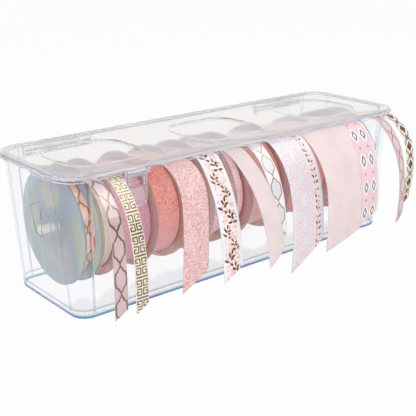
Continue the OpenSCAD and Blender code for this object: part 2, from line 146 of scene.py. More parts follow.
def clear_polystyrene(name, tint, density):
    """Crystal polystyrene, injection moulded and polished by the tool: clear, with painted blue-violet
    refraction light on its edges.
    """
    material, tree, out = new_material(name)
    coords = add(tree, "ShaderNodeTexCoord")
    # Slow flow marks of the moulding, a few centimetres long
    flow = add(tree, "ShaderNodeTexNoise", {"Scale": 26.0, "Detail": 1.5},
               {"Vector": coords.outputs["Object"]})
    bump = add(tree, "ShaderNodeBump", {"Strength": 0.04, "Distance": 0.002},
               {"Height": flow.outputs["Fac"]})
    # Painted refraction: what is seen edge on is tinted violet in places and green-blue in others
    rim = add(tree, "ShaderNodeLayerWeight", {"Blend": 0.5})
    grazing = add(tree, "ShaderNodeMapRange", {"From Min": 0.72, "From Max": 0.95},
                  {"Value": rim.outputs["Facing"]})
    hue = add(tree, "ShaderNodeMapRange", {"From Min": 0.42, "From Max": 0.58},
              {"Value": flow.outputs["Fac"]})
    painted_grazing_tint = add(tree, "ShaderNodeMix", {".data_type": "RGBA", "A": lin("#4c5aaa"), "B": lin("#3f9c98")},
                 {"Factor": hue.outputs["Result"]})
    tone = add(tree, "ShaderNodeMix", {".data_type": "RGBA", "A": (1, 1, 1, 1)},
               {"Factor": grazing.outputs["Result"], "B": painted_grazing_tint.outputs[2]})
    # Painted refraction lines where the round corners meet the flat walls
    uprights, base = painted_corner_lines(tree, coords.outputs["Object"])
    tone = paint_edge_light(tree, tone.outputs[2], uprights, hue.outputs["Result"], "#7482b0", "#6f9fae")
    # Darker painted refraction lines on the rounded edges and along the thick base
    edge = add(tree, "ShaderNodeAttribute", {".attribute_name": "edge"})
    lines = add(tree, "ShaderNodeMath", {".operation": "MAXIMUM"}, {0: edge.outputs["Fac"], 1: base})
    tone = paint_edge_light(tree, tone.outputs[2], lines.outputs[0], hue.outputs["Result"], "#3a479f", "#2a8d8e")
    glass = add(tree, "ShaderNodeBsdfPrincipled", {
        "Roughness": 0.01, "IOR": 1.35, "Specular IOR Level": 0.3, "Transmission Weight": 1.0,
    }, {"Normal": bump.outputs["Normal"], "Base Color": tone.outputs[2]})
    finish_clear(tree, out, glass.outputs[0], tint, density)
    return material


def painted_corner_lines(tree, place):
    """Painted refraction lines of the tub, 1 on them: where round corners meet flat walls, and the edges of
    the thick base.
    """
    split = add(tree, "ShaderNodeSeparateXYZ", {}, {"Vector": place})
    height = split.outputs["Z"]
    # Distance from the centre of the corner, which moves with the lean of the walls
    beyond = []
    for axis, start, lean in (("X", TUB_CORNER[0], TUB_LEAN[0]), ("Y", TUB_CORNER[1], TUB_LEAN[1])):
        size = add(tree, "ShaderNodeMath", {".operation": "ABSOLUTE"}, {0: split.outputs[axis]})
        centre = add(tree, "ShaderNodeMath", {".operation": "MULTIPLY_ADD", 1: lean, 2: start}, {0: height})
        beyond.append(add(tree, "ShaderNodeMath", {".operation": "SUBTRACT"},
                          {0: size.outputs[0], 1: centre.outputs[0]}).outputs[0])
    near = []
    for gap in beyond:
        off = add(tree, "ShaderNodeMath", {".operation": "ABSOLUTE"}, {0: gap})
        near.append(add(tree, "ShaderNodeMapRange", {"From Min": 0.0007, "From Max": 0.0002},
                        {"Value": off.outputs[0]}))
    uprights = add(tree, "ShaderNodeMath", {".operation": "MAXIMUM"},
                   {0: near[0].outputs["Result"], 1: near[1].outputs["Result"]})
    wall = add(tree, "ShaderNodeMapRange", {"From Min": 0.003, "From Max": 0.005, "To Max": 0.7},
               {"Value": height})
    uprights = add(tree, "ShaderNodeMath", {".operation": "MULTIPLY"},
                   {0: uprights.outputs[0], 1: wall.outputs["Result"]})
    out_x = add(tree, "ShaderNodeMath", {".operation": "MAXIMUM", 1: 0.0}, {0: beyond[0]})
    out_y = add(tree, "ShaderNodeMath", {".operation": "MAXIMUM", 1: 0.0}, {0: beyond[1]})
    both = add(tree, "ShaderNodeCombineXYZ", {}, {"X": out_x.outputs[0], "Y": out_y.outputs[0]})
    reach = add(tree, "ShaderNodeVectorMath", {".operation": "LENGTH"}, {0: both.outputs[0]})
    outer = add(tree, "ShaderNodeMapRange", {"From Min": 0.0098, "From Max": 0.0112},
                {"Value": reach.outputs["Value"]})
    low = add(tree, "ShaderNodeMapRange", {"From Min": 0.0040, "From Max": 0.0020}, {"Value": height})
    # The inner edge of the base is painted as a second, fainter refraction line above the first
    above = add(tree, "ShaderNodeMath", {".operation": "SUBTRACT", 1: 0.0066}, {0: height})
    above = add(tree, "ShaderNodeMath", {".operation": "ABSOLUTE"}, {0: above.outputs[0]})
    second = add(tree, "ShaderNodeMapRange", {"From Min": 0.0010, "From Max": 0.0003, "To Max": 0.6},
                 {"Value": above.outputs[0]})
    either = add(tree, "ShaderNodeMath", {".operation": "MAXIMUM"},
                 {0: low.outputs["Result"], 1: second.outputs["Result"]})
    base = add(tree, "ShaderNodeMath", {".operation": "MULTIPLY"},
               {0: outer.outputs["Result"], 1: either.outputs[0]})
    return uprights.outputs[0], base.outputs[0]


def paint_edge_light(tree, colour, edge, hue, one, other):
    """Paints refraction light on the edges of a moulding, where the light gathers, between two tints."""
    tint = add(tree, "ShaderNodeMix", {".data_type": "RGBA", "A": lin(one), "B": lin(other)},
               {"Factor": hue})
    return add(tree, "ShaderNodeMix", {".data_type": "RGBA"},
               {"Factor": edge, "A": colour, "B": tint.outputs[2]})


def soft_rays(tree):
    """1 for shadow and diffuse rays, which carry the lamps' light on to what lies behind."""
    path = add(tree, "ShaderNodeLightPath")
    return add(tree, "ShaderNodeMath", {".operation": "MAXIMUM"},
               {0: path.outputs["Is Shadow Ray"], 1: path.outputs["Is Diffuse Ray"]}).outputs[0]


def finish_clear(tree, out, surface, tint, density):
    """Lets lamps reach the ribbons through the walls, and tints long ways through the plastic."""
    # Light caught between the faces of a wall leaves it after a few turns
    path = add(tree, "ShaderNodeLightPath")
    caught = add(tree, "ShaderNodeMath", {".operation": "GREATER_THAN", 1: 9.5},
                 {0: path.outputs["Ray Depth"]})
    freed = add(tree, "ShaderNodeMath", {".operation": "MAXIMUM"},
                {0: soft_rays(tree), 1: caught.outputs[0]})
    open_way = add(tree, "ShaderNodeBsdfTransparent", {"Color": lin("#fdfdfe")})
    both = add(tree, "ShaderNodeMixShader", {}, {0: freed.outputs[0], 1: surface, 2: open_way.outputs[0]})
    tree.links.new(both.outputs[0], out.inputs["Surface"])
    dye = add(tree, "ShaderNodeVolumeAbsorption", {"Color": lin(tint), "Density": density})
    tree.links.new(dye.outputs[0], out.inputs["Volume"])


def hazy_lid(name, panel, border):
    """The same polystyrene with a fine matt grain: milky, more so on a thick border than in the panel."""
    material, tree, out = new_material(name)
    coords = add(tree, "ShaderNodeTexCoord")
    place = add(tree, "ShaderNodeSeparateXYZ", {}, {"Vector": coords.outputs["Object"]})
    # Distance from the lid's outline, negative inside it
    past = []
    for axis, half in zip("XY", LID_HALF):
        size = add(tree, "ShaderNodeMath", {".operation": "ABSOLUTE"}, {0: place.outputs[axis]})
        past.append(add(tree, "ShaderNodeMath", {".operation": "SUBTRACT", 1: half}, {0: size.outputs[0]}))
    inward = add(tree, "ShaderNodeMath", {".operation": "MAXIMUM"},
                 {0: past[0].outputs[0], 1: past[1].outputs[0]})
    haze = add(tree, "ShaderNodeMapRange",
               {"From Min": -0.0070, "From Max": -0.0058, "To Min": panel, "To Max": border},
               {"Value": inward.outputs[0]})
    flow = add(tree, "ShaderNodeTexNoise", {"Scale": 22.0, "Detail": 1.0},
               {"Vector": coords.outputs["Object"]})
    hue = add(tree, "ShaderNodeMapRange", {"From Min": 0.42, "From Max": 0.58},
              {"Value": flow.outputs["Fac"]})
    warm = add(tree, "ShaderNodeMix", {".data_type": "RGBA", "A": lin("#fffdfa"), "B": lin("#fefcf6")},
               {"Factor": hue.outputs["Result"]})
    # Painted refraction lines on the rounded edges of the rim, faint inside the border
    edge = add(tree, "ShaderNodeAttribute", {".attribute_name": "edge"})
    outer = add(tree, "ShaderNodeMapRange", {"From Min": -0.0075, "From Max": -0.006, "To Min": 0.04},
                {"Value": inward.outputs[0]})
    lines = add(tree, "ShaderNodeMath", {".operation": "MULTIPLY"},
                {0: edge.outputs["Fac"], 1: outer.outputs["Result"]})
    tone = paint_edge_light(tree, warm.outputs[2], lines.outputs[0], hue.outputs["Result"], "#7488d4", "#9dbbd8")
    glass = add(tree, "ShaderNodeBsdfPrincipled", {
        "Roughness": 0.06, "IOR": 1.45, "Specular IOR Level": 0.25, "Transmission Weight": 1.0,
    }, {"Base Color": tone.outputs[2]})
    through = add(tree, "ShaderNodeBsdfTranslucent", {"Color": lin("#f6f6fa")})
    front = add(tree, "ShaderNodeBsdfDiffuse", {"Color": lin("#f2f3f6")})
    milk = add(tree, "ShaderNodeMixShader", {0: 0.5}, {1: through.outputs[0], 2: front.outputs[0]})
    skin = add(tree, "ShaderNodeMixShader", {},
               {0: haze.outputs["Result"], 1: glass.outputs[0], 2: milk.outputs[0]})
    finish_clear(tree, out, skin.outputs[0], "#9fb2d4", 5.0)
    return material


def pearly_reel(name, sheer, codes):
    """Reel plastic: moulded styrene with a pearl pigment, cloudy or sheer, with pale rainbow tints."""
    material, tree, out = new_material(name)
    coords = add(tree, "ShaderNodeTexCoord")
    spread = add(tree, "ShaderNodeMapping", {"Scale": (1.0, 1.3, 0.6)},
                 {"Vector": coords.outputs["Object"]})
    cloud = add(tree, "ShaderNodeTexNoise", {"Scale": 20.0, "Detail": 2.0, "Distortion": 0.5},
                {"Vector": spread.outputs[0]})
    tints = add(tree, "ShaderNodeValToRGB", {}, {"Fac": cloud.outputs["Fac"]})
    ramp = tints.color_ramp
    while len(ramp.elements) < len(codes):
        ramp.elements.new(0.5)
    for element, spot, code in zip(ramp.elements, (0.3, 0.4, 0.46, 0.51, 0.57, 0.64, 0.74), codes):
        element.position = spot
        element.color = lin(code)
    # Painted shade: the top is tinted violet, as it looks under the hazy lid above it, and lets violet
    # light through
    place = add(tree, "ShaderNodeSeparateXYZ", {}, {"Vector": coords.outputs["Object"]})
    top = add(tree, "ShaderNodeMapRange", {"From Min": 0.080, "From Max": 0.090, "To Max": 0.85},
              {"Value": place.outputs["Z"]})
    tone = add(tree, "ShaderNodeMix", {".data_type": "RGBA", "B": lin("#b9aed2")},
               {"Factor": top.outputs["Result"], "A": tints.outputs["Color"]})
    # Bare flange outside the ribbon is a little denser, and its turned edge is a thin grey-green painted
    # refraction line
    rise = add(tree, "ShaderNodeMath", {".operation": "SUBTRACT", 1: AXIS_Z * MM}, {0: place.outputs["Z"]})
    flat = add(tree, "ShaderNodeCombineXYZ", {}, {"X": place.outputs["Y"], "Y": rise.outputs[0]})
    radius = add(tree, "ShaderNodeVectorMath", {".operation": "LENGTH"}, {0: flat.outputs[0]})
    band = add(tree, "ShaderNodeMapRange", {"From Min": 0.0345, "From Max": 0.0375, "To Max": 0.3},
               {"Value": radius.outputs["Value"]})
    line = add(tree, "ShaderNodeMapRange", {"From Min": 0.0408, "From Max": 0.0413, "To Max": 0.7},
               {"Value": radius.outputs["Value"]})
    tone = add(tree, "ShaderNodeMix", {".data_type": "RGBA", "B": lin("#8fa29a")},
               {"Factor": line.outputs["Result"], "A": tone.outputs[2]})
    shell = add(tree, "ShaderNodeBsdfPrincipled", {
        "Roughness": 0.22, "IOR": 1.55, "Coat Weight": 0.3, "Coat Roughness": 0.08,
    }, {"Base Color": tone.outputs[2]})
    glow = add(tree, "ShaderNodeBsdfTranslucent", {}, {"Color": tone.outputs[2]})
    cloudy = add(tree, "ShaderNodeMixShader", {0: 0.35}, {1: shell.outputs[0], 2: glow.outputs[0]})
    through = add(tree, "ShaderNodeMix", {".data_type": "RGBA", "A": lin("#fbeeea"), "B": lin("#f3f2f8")},
                  {"Factor": top.outputs["Result"]})
    seen_through = add(tree, "ShaderNodeBsdfTransparent", {}, {"Color": through.outputs[2]})
    cover = add(tree, "ShaderNodeMath", {".operation": "MAXIMUM"},
                {0: band.outputs["Result"], 1: line.outputs["Result"]})
    clear = add(tree, "ShaderNodeMath", {".operation": "MULTIPLY_ADD", 1: -sheer, 2: sheer},
                {0: cover.outputs[0]})
    body = add(tree, "ShaderNodeMixShader", {},
               {0: clear.outputs[0], 1: cloudy.outputs[0], 2: seen_through.outputs[0]})
    open_way = add(tree, "ShaderNodeBsdfTransparent", {"Color": lin("#fcfcfc")})
    both = add(tree, "ShaderNodeMixShader", {},
               {0: soft_rays(tree), 1: body.outputs[0], 2: open_way.outputs[0]})
    tree.links.new(both.outputs[0], out.inputs["Surface"])
    return material


def plain_rod(name):
    """Extruded ABS rod: ivory, faintly drawn along its length."""
    material, tree, out = new_material(name)
    coords = add(tree, "ShaderNodeTexCoord")
    drawn = add(tree, "ShaderNodeMapping", {"Scale": (8, 900, 900)}, {"Vector": coords.outputs["Object"]})
    lines = add(tree, "ShaderNodeTexNoise", {"Scale": 1.0, "Detail": 2.0}, {"Vector": drawn.outputs[0]})
    tone = add(tree, "ShaderNodeMix", {".data_type": "RGBA", "A": lin("#e8ead9"), "B": lin("#f4f4e8")},
               {"Factor": lines.outputs["Fac"]})
    bump = add(tree, "ShaderNodeBump", {"Strength": 0.2, "Distance": 0.0002},
               {"Height": lines.outputs["Fac"]})
    skin = add(tree, "ShaderNodeBsdfPrincipled", {"Roughness": 0.4, "IOR": 1.5},
               {"Base Color": tone.outputs[2], "Normal": bump.outputs["Normal"]})
    tree.links.new(skin.outputs[0], out.inputs["Surface"])
    return material


def drawn_wire(name):
    """Hinge wire: cold drawn steel, bright, with fine lines along the wire."""
    material, tree, out = new_material(name)
    coords = add(tree, "ShaderNodeTexCoord")
    drawn = add(tree, "ShaderNodeMapping", {"Scale": (30, 3000, 3000)},
                {"Vector": coords.outputs["Object"]})
    lines = add(tree, "ShaderNodeTexNoise", {"Scale": 1.0, "Detail": 2.0}, {"Vector": drawn.outputs[0]})
    rough = add(tree, "ShaderNodeMapRange", {"To Min": 0.22, "To Max": 0.4},
                {"Value": lines.outputs["Fac"]})
    skin = add(tree, "ShaderNodeBsdfPrincipled", {"Base Color": lin("#b9bcc0"), "Metallic": 1.0},
               {"Roughness": rough.outputs["Result"]})
    tree.links.new(skin.outputs[0], out.inputs["Surface"])
    return material


# Ribbon designs: each gives, in millimetres, how far a point is from the print, negative inside it

# Further than any print reaches
FAR = 9.0


def away(v, period):
    """Distance along v to the nearest whole period."""
    return (v + period / 2) % period - period / 2


# Half width of a lantern shape, as a share of its widest, against the place along half a period
LANTERN_AT = [0, 0.05, 0.08, 0.19, 0.215, 0.235, 0.27, 0.33, 0.42, 0.5]
LANTERN = [0, 0, 0.1, 0.5, 0.47, 0.62, 0.84, 0.95, 1.0, 1.0]


def lanterns(u, v, width, period, half, line):
    """Chain of lantern shapes between two lines that meet on the middle: the lines and the fill."""
    t = np.abs(away(v, period)) / period
    fine = np.linspace(0, 0.5, 201)
    slope = np.gradient(np.interp(fine, LANTERN_AT, LANTERN), fine) * half / period
    steep = np.sqrt(1 + np.interp(t, fine, slope) ** 2)
    inside = (np.abs(u - width / 2) - half * np.interp(t, LANTERN_AT, LANTERN)) / steep
    return np.abs(inside) - line / 2, inside


def boxes(u, v, cells):
    """Union of boxes, each as (u0, u1, v0, v1)."""
    best = np.full(u.shape, FAR)
    for u0, u1, v0, v1 in cells:
        best = np.minimum(best, np.maximum(np.maximum(u0 - u, u - u1), np.maximum(v0 - v, v - v1)))
    return best


def meander(u, v, width):
    """Square key hooks, mirrored about the middle of the ribbon and about the bars between the blocks."""
    across = np.abs(u - width / 2)
    period = 14.4
    along = np.abs(away(v, period))
    hooks = [(0.3, 1.25, 0.45, 5.6), (0.3, 4.4, 4.65, 5.6), (3.45, 4.4, 2.3, 5.6), (2.1, 4.4, 2.3, 3.2),
             (0.3, 4.4, 0.45, 1.35), (-1, 4.5, 6.6, 7.6)]
    return boxes(across, along, hooks)


def leaf(u, v, cu, cv, angle, length, wide):
    """Pointed leaf: where two circles overlap."""
    c, s = math.cos(angle), math.sin(angle)
    a = (u - cu) * c + (v - cv) * s
    b = -(u - cu) * s + (v - cv) * c
    radius = (length ** 2 / 4 + wide ** 2 / 4) / wide
    return np.hypot(a, np.abs(b) + radius - wide / 2) - radius


def sprigs(u, v, left, right, period, count, size):
    """Sprigs in turn on the left and the right: a fine stem, broad spread leaves and berries."""
    best = np.full(u.shape, FAR)
    draw = np.random.default_rng(7)
    for k in range(count):
        side = 1 if k % 2 else -1
        root = (right - 0.2 * (right - left)) if side > 0 else left + 0.2 * (right - left)
        lean = -math.pi / 2 - side * draw.uniform(0.1, 0.5)
        grow = size * draw.uniform(0.9, 1.15)
        dv = away(v - period * (k + 0.5) / count, period)
        du = u - root
        c, s = math.cos(lean), math.sin(lean)
        along = np.clip(du * c + dv * s, 0, 0.7 * grow)
        best = np.minimum(best, np.hypot(du - along * c, dv - along * s) - 0.07)
        for f, turn, length in ((0.0, 1.5, 0.42), (0.1, -1.3, 0.6), (0.3, 0.9, 0.34), (0.48, -0.8, 0.62),
                                (0.6, 1.1, 0.5), (0.8, 0.1, 0.56)):
            way = lean + turn + draw.uniform(-0.3, 0.3)
            length *= grow * draw.uniform(0.8, 1.15)
            reach = 0.5 * length + 0.06 * grow
            best = np.minimum(best, leaf(du, dv, f * grow * c + reach * math.cos(way),
                                         f * grow * s + reach * math.sin(way), way, length, 0.23 * grow))
        for _ in range(6):
            f, off = draw.uniform(0, 1.1), draw.uniform(-0.75, 0.75)
            best = np.minimum(best, np.hypot(du - f * grow * c + off * grow * s,
                                             dv - f * grow * s - off * grow * c) - 0.06 * grow)
    return best


def garland(u, v, middle, period, count):
    """Broad loose leaves along a border, in pairs that lean to the left and the right, with berries."""
    best = np.full(u.shape, FAR)
    draw = np.random.default_rng(11)
    for k in range(count):
        dv = away(v - period * (k + draw.uniform(0.3, 0.7)) / count, period)
        du = u - middle
        for side in (-1, 1):
            way = -math.pi / 2 + side * draw.uniform(0.45, 0.95)
            length = draw.uniform(2.2, 4.2)
            best = np.minimum(best, leaf(du, dv, side * 0.9 + 0.3 * length * math.cos(way),
                                         0.5 * length * math.sin(way), way, length, 0.42 * length))
        berry = draw.uniform(-2.2, 2.2)
        best = np.minimum(best, np.hypot(du - berry, dv - 1.6) - 0.4)
    return best


def scrolls(u, v, left, right, period, line):
    """Running scrolls: spirals that turn in turn to the left and to the right along the ribbon."""
    best = np.full(u.shape, FAR)
    room = right - left
    columns = max(1, round(room / 12))
    pitch = room / columns
    for c in range(columns):
        for half_way, hand in ((0.0, 1), (0.5, -1)):
            dv = away(v - (half_way + 0.25 * (c % 2)) * period, period)
            du = (u - left - pitch * (c + 0.5 + hand * 0.1)) * hand
            radius = np.hypot(du, dv)
            turn = (np.arctan2(dv, du) / (2 * math.pi)) % 1
            step = pitch * 0.25
            spiral = np.abs((radius / step - turn + 0.5) % 1 - 0.5) * step - line / 2
            best = np.where(radius < step * (1.7 + turn), np.minimum(best, spiral), best)
    return best


def lozenge(du, dv, half_u, half_v):
    """Upright lozenge."""
    return (np.abs(du) / half_u + np.abs(dv) / half_v - 1) * half_u * half_v / math.hypot(half_u, half_v)


def design(i, u, v, wound):
    """The values of ribbon i at (u, v): dark print, pale print, and tint of the middle from 0 to 1."""
    width = RIBBON_W[i]
    far = np.full(u.shape, FAR)
    zero = np.zeros(u.shape)
    edge = np.minimum(u, width - u)
    if i == 0:
        return lanterns(u, v, width, period=20.5, half=4.25, line=1.3)[0], far, zero
    if i == 1:
        return meander(u, v, width), far, zero
    if i in (2, 5) or (i == 6 and wound):
        return far, scrolls(u, v, left=1, right=width - 1, period=19, line=1.3), zero
    if i == 4:
        middle = np.clip((edge - 2.6) / 0.4, 0, 1)
        return sprigs(u, v, left=3.2, right=14.8, period=38, count=4, size=7.0), far, middle
    if i == 6:
        line, fill = lanterns(u, v, width, period=19, half=4.6, line=0.75)
        return line, fill, zero
    if i == 7:
        middle = 27.6
        band = np.clip((3.0 - np.abs(u - middle)) / 0.4, 0, 1)
        leaves = garland(u, v, middle, period=36, count=7)
        return leaves, scrolls(u, v, left=1.5, right=24, period=17, line=1.1), band
    if i == 9:
        # Two rows of outlined lozenges with dots between them, on pale points from both edges
        dark, pale = far, far
        period = 21.5
        here = away(v, period)
        between = away(v - period / 2, period)
        for cu in (7.6, 17.4):
            gem = lozenge(u - cu, here, 2.7, 4.9)
            dark = np.minimum(dark, np.maximum(gem, -gem - 1.0))
            dark = np.minimum(dark, np.hypot(u - cu, 0.6 * between) - 0.65)
            halo = np.maximum(lozenge(u - cu, here, 4.8, 8.2), -lozenge(u - cu, between, 3.4, 5.2))
            pale = np.minimum(pale, halo)
        return dark, np.minimum(pale, edge - 2.0), zero
    if i == 10:
        line, fill = lanterns(u, v, width, period=17.5, half=3.9, line=0.7)
        return line, fill, zero
    if i == 11:
        # Filled lozenges, with crossed pairs of lines between them
        dark = far
        period = 15.5
        for k in (-1, 0, 1):
            gem = lozenge(u - width / 2, away(v, period) + period * k, 3.7, 4.7)
            pair = np.abs(np.abs(gem - 2.6) - 0.62) - 0.34
            dark = np.minimum(dark, np.minimum(gem, pair))
        return dark, far, zero
    return far, far, zero


# Colours of each ribbon: ground, dark print, light print, border, metal of the dark print, gloss
INK = [
    ("#c9abb0", "#6a4612", "#f4e9e6", "#c9abb0", 0.6, 0.26),
    ("#ebe2d0", "#6e4d14", "#f4ead2", "#ebe2d0", 0.6, 0.34),
    ("#dba3b0", "#dba3b0", "#eed3d9", "#dba3b0", 0.0, 0.5),
    ("#e5b4b4", "#e5b4b4", "#f4cbc4", "#e5b4b4", 0.0, 0.55),
    ("#f1f0f6", "#5e3d12", "#f1f0f6", "#f7e9ea", 0.2, 0.5),
    ("#f2c6cb", "#f2c6cb", "#f8e8ea", "#f2c6cb", 0.0, 0.5),
    ("#f3f1f2", "#80602a", "#e2dfe8", "#f3f1f2", 0.5, 0.4),
    ("#e4e2ea", "#6b4a1c", "#eec9d0", "#f5e6e6", 0.2, 0.4),
    ("#efdcdc", "#efdcdc", "#efdcdc", "#efdcdc", 0.0, 0.55),
    ("#f4d2d7", "#5f4a3a", "#f4f3f8", "#f4d2d7", 0.0, 0.5),
    ("#dfbfbf", "#8a6650", "#dccad2", "#dfbfbf", 0.3, 0.5),
    ("#f6f2ee", "#6d4719", "#f6f2ee", "#f6f2ee", 0.3, 0.45),
]
# Ribbons smoother than this are glossy satin
SATIN = 0.42
# Painted light and shade: one ribbon coloured differently on its roll and on its loose end, the roll warmer
# in painted shade or brighter in painted light, where they differ
ROLL_GROUND = {
    0: "#f0c4b2", 1: "#dccfb8", 3: "#f6988b", 4: "#fbccd3", 6: "#fbd3d8", 7: "#f0b5a6", 8: "#eeb4ae",
    9: "#e0a08c", 11: "#9a6a50",
}
ROLL_LIGHT = {2: "#e0b0bc", 6: "#fff6f7"}
ROLL_DARK = {0: "#c08c40"}
END_GROUND = {5: "#e6d7d6"}
PLAIN_ROLLS = (1, 4, 8)
PLAIN_ENDS = (5, 8)
GLITTERED = 3
BLOSSOMED = (4, 7)


def blossoms(tree, uv, colour, tint):
    """Small pink blossoms, printed over the tinted middle of a ribbon."""
    across = 2.2
    bloom = add(tree, "ShaderNodeTexVoronoi",
                {".feature": "SMOOTH_F1", "Scale": 1000 / across, "Smoothness": 0.3}, {"Vector": uv})
    petal = add(tree, "ShaderNodeMapRange", {"From Min": 0.55, "From Max": 0.32, "To Max": 0.85},
                {"Value": bloom.outputs["Distance"]})
    where = add(tree, "ShaderNodeMath", {".operation": "MULTIPLY"}, {0: petal.outputs["Result"], 1: tint})
    return add(tree, "ShaderNodeMix", {".data_type": "RGBA", "B": lin("#e9bcc1")},
               {"Factor": where.outputs[0], "A": colour}).outputs[2]


def printed(tree, uv, i, colours, tint):
    """The print of a ribbon over its ground: the colour, and where the foil is."""
    ground, dark, light, border = colours
    colour = add(tree, "ShaderNodeMix", {".data_type": "RGBA", "A": lin(ground), "B": lin(border)},
                 {"Factor": tint}).outputs[2]
    if i in BLOSSOMED:
        colour = blossoms(tree, uv, colour, tint)
    pale = add(tree, "ShaderNodeAttribute", {".attribute_name": "pale_print"})
    inside = add(tree, "ShaderNodeMapRange", {"From Min": 0.12, "From Max": -0.12},
                 {"Value": pale.outputs["Fac"]})
    colour = add(tree, "ShaderNodeMix", {".data_type": "RGBA", "B": lin(light)},
                 {"Factor": inside.outputs["Result"], "A": colour}).outputs[2]
    stamp = add(tree, "ShaderNodeAttribute", {".attribute_name": "dark_print"})
    shine = add(tree, "ShaderNodeMapRange", {"From Min": 0.08, "From Max": -0.08},
                {"Value": stamp.outputs["Fac"]})
    # Painted glints on the foil, where it catches the light here and there, over a few millimetres
    patch = 5
    painted_foil_glints = add(tree, "ShaderNodeTexNoise", {"Scale": 1000 / patch, "Detail": 2.0}, {"Vector": uv})
    part = add(tree, "ShaderNodeMapRange", {"From Min": 0.48, "From Max": 0.68, "To Max": 0.55},
               {"Value": painted_foil_glints.outputs["Fac"]})
    foil = add(tree, "ShaderNodeMix", {".data_type": "RGBA", "A": lin(dark), "B": lin("#c39a4e")},
               {"Factor": part.outputs["Result"]})
    colour = add(tree, "ShaderNodeMix", {".data_type": "RGBA"},
                 {"Factor": shine.outputs["Result"], "A": colour, "B": foil.outputs[2]}).outputs[2]
    return colour, shine.outputs["Result"]


def glittered(tree, uv, colour, wound):
    """Glitter flakes, each with its own roughness and its own brightness, partly a tint and partly painted
    sparkle: the colour and the roughness.
    """
    across = 0.65
    flakes = add(tree, "ShaderNodeTexVoronoi",
                 {".voronoi_dimensions": "2D", "Scale": 1000 / across, "Randomness": 1.0}, {"Vector": uv})
    grey = add(tree, "ShaderNodeSeparateColor", {}, {"Color": flakes.outputs["Color"]})
    spark = add(tree, "ShaderNodeValToRGB", {}, {"Fac": grey.outputs[0]})
    # On the roll the flakes are painted deeper coral than on the loose end, in painted shade
    spark.color_ramp.elements[0].color = lin("#e06a58" if wound else "#d07f80")
    spark.color_ramp.elements[1].color = lin("#ffd6cb" if wound else "#fff4f2")
    colour = add(tree, "ShaderNodeMix", {".data_type": "RGBA", "Factor": 0.7},
                 {"A": colour, "B": spark.outputs["Color"]}).outputs[2]
    rough = add(tree, "ShaderNodeMapRange", {"To Min": 0.25, "To Max": 0.7}, {"Value": grey.outputs[1]})
    if wound:
        # Coral above, paler pink towards the bottom of the roll
        spot = add(tree, "ShaderNodeTexCoord")
        level = add(tree, "ShaderNodeSeparateXYZ", {}, {"Vector": spot.outputs["Object"]})
        fade = add(tree, "ShaderNodeMapRange", {"From Min": 0.064, "From Max": 0.028, "To Max": 0.7},
                   {"Value": level.outputs["Z"]})
        colour = add(tree, "ShaderNodeMix", {".data_type": "RGBA", "B": lin("#f8ccd2")},
                     {"Factor": fade.outputs["Result"], "A": colour}).outputs[2]
    return colour, rough.outputs["Result"]


def ribbon_cloth(i, wound):
    """Woven polyester ribbon: satin or grosgrain ground with a screen print and hot-stamped foil."""
    ground, dark, light, border, metal, gloss = INK[i]
    # The roll and the loose end take their own painted lit or shaded colours, where they differ
    ground = (ROLL_GROUND if wound else END_GROUND).get(i, ground)
    if wound:
        light, dark = ROLL_LIGHT.get(i, light), ROLL_DARK.get(i, dark)
    material, tree, out = new_material(f"ribbon_cloth_{i + 1:02d}" + ("_wound" if wound else "_end"))
    uv = add(tree, "ShaderNodeUVMap", {".uv_map": "flat"}).outputs[0]
    # Weft threads, 0.35 mm apart in life, drawn wider so that they show. A wave repeats 20 times a unit
    thread = 0.6
    weft = add(tree, "ShaderNodeTexWave", {
        ".bands_direction": "Y", "Scale": 1000 / thread / 20, "Distortion": 0.6, "Detail": 1.0,
    }, {"Vector": uv})
    cloud = add(tree, "ShaderNodeTexNoise", {"Scale": 60.0, "Detail": 3.0}, {"Vector": uv})
    tone = add(tree, "ShaderNodeMapRange",
               {"From Min": 0.3, "From Max": 0.7, "To Min": 0.94, "To Max": 1.04},
               {"Value": cloud.outputs["Fac"]})
    tinged = add(tree, "ShaderNodeMix",
                 {".data_type": "RGBA", ".blend_type": "MULTIPLY", "Factor": 1.0, "A": lin(ground)},
                 {"B": tone.outputs["Result"]})
    bump = add(tree, "ShaderNodeBump", {"Strength": 0.25, "Distance": 0.0003},
               {"Height": weft.outputs["Fac"]})
    links = {"Base Color": tinged.outputs[2], "Normal": bump.outputs["Normal"]}
    if i not in (PLAIN_ROLLS if wound else PLAIN_ENDS):
        tint = add(tree, "ShaderNodeAttribute", {".attribute_name": "border"})
        colour, shine = printed(tree, uv, i, (ground, dark, light, border), tint.outputs["Fac"])
        if i == GLITTERED:
            colour, links["Roughness"] = glittered(tree, uv, colour, wound)
        tree.links.new(colour, tinged.inputs["A"])
        if metal:
            metallic = add(tree, "ShaderNodeMath", {".operation": "MULTIPLY", 1: metal}, {0: shine})
            links["Metallic"] = metallic.outputs[0]
    skin = add(tree, "ShaderNodeBsdfPrincipled", {
        "Roughness": gloss, "IOR": 1.5, "Specular IOR Level": 1.0 if gloss < SATIN else 0.35,
        "Coat Weight": min(1.0, 7 * max(0.0, SATIN - gloss)), "Coat Roughness": 0.28, "Coat IOR": 1.9,
        "Sheen Weight": 0.1, "Sheen Roughness": 0.4,
    }, links)
    if wound:
        tree.links.new(skin.outputs[0], out.inputs["Surface"])
        return material
    # A single layer lets part of the light through to the spools behind it
    thin = add(tree, "ShaderNodeMath", {".operation": "MULTIPLY", 1: 0.7}, {0: soft_rays(tree)})
    open_way = add(tree, "ShaderNodeBsdfTransparent", {"Color": lin("#fdf2f1")})
    both = add(tree, "ShaderNodeMixShader", {},
               {0: thin.outputs[0], 1: skin.outputs[0], 2: open_way.outputs[0]})
    tree.links.new(both.outputs[0], out.inputs["Surface"])
    return material


